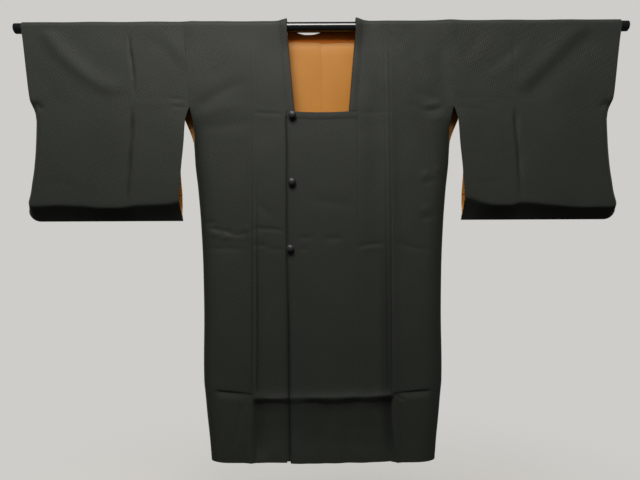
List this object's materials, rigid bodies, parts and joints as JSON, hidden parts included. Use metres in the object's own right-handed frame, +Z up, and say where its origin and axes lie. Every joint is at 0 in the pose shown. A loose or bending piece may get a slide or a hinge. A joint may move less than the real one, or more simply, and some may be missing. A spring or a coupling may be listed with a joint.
{
  "type": "michiyuki coat on a hanging rod",
  "caption": "Black lined kimono overcoat with a square neck, wide sleeves and an overlapping buttoned front, hanging flat on a round rod passed through both sleeves.",
  "frame": {"origin": "on the hanging rod's axis, at the middle of the coat, where the rod holds it up", "axes": "+X along the rod towards the coat's left sleeve, which is on the right seen from the front; +Y from the front to the back; +Z up"},
  "size_m": [1.366, 0.0721, 0.9779],
  "materials": {
    "coat_cloth": "black silk with a fine slanting relief weave, low sheen",
    "lining_cloth": "golden orange smooth silk lining",
    "button_cover": "black cloth drawn tight over a ball, slight gloss",
    "rod_paint": "glossy black enamel"
  },
  "bodies": {
    "root": {"body_left": "coat_cloth", "body_right": "coat_cloth", "overlap_left": "coat_cloth", "overlap_right": "coat_cloth", "collar_left": "coat_cloth", "collar_right": "coat_cloth", "collar_front": "coat_cloth", "collar_back": "coat_cloth", "sleeve_left": "coat_cloth", "sleeve_right": "coat_cloth", "lining_back_left": "lining_cloth", "lining_back_right": "lining_cloth", "lining_sleeve_left": "lining_cloth", "lining_sleeve_right": "lining_cloth", "button_top": "button_cover", "button_middle": "button_cover", "button_bottom": "button_cover", "rod": "rod_paint"}
  },
  "joints": []
}
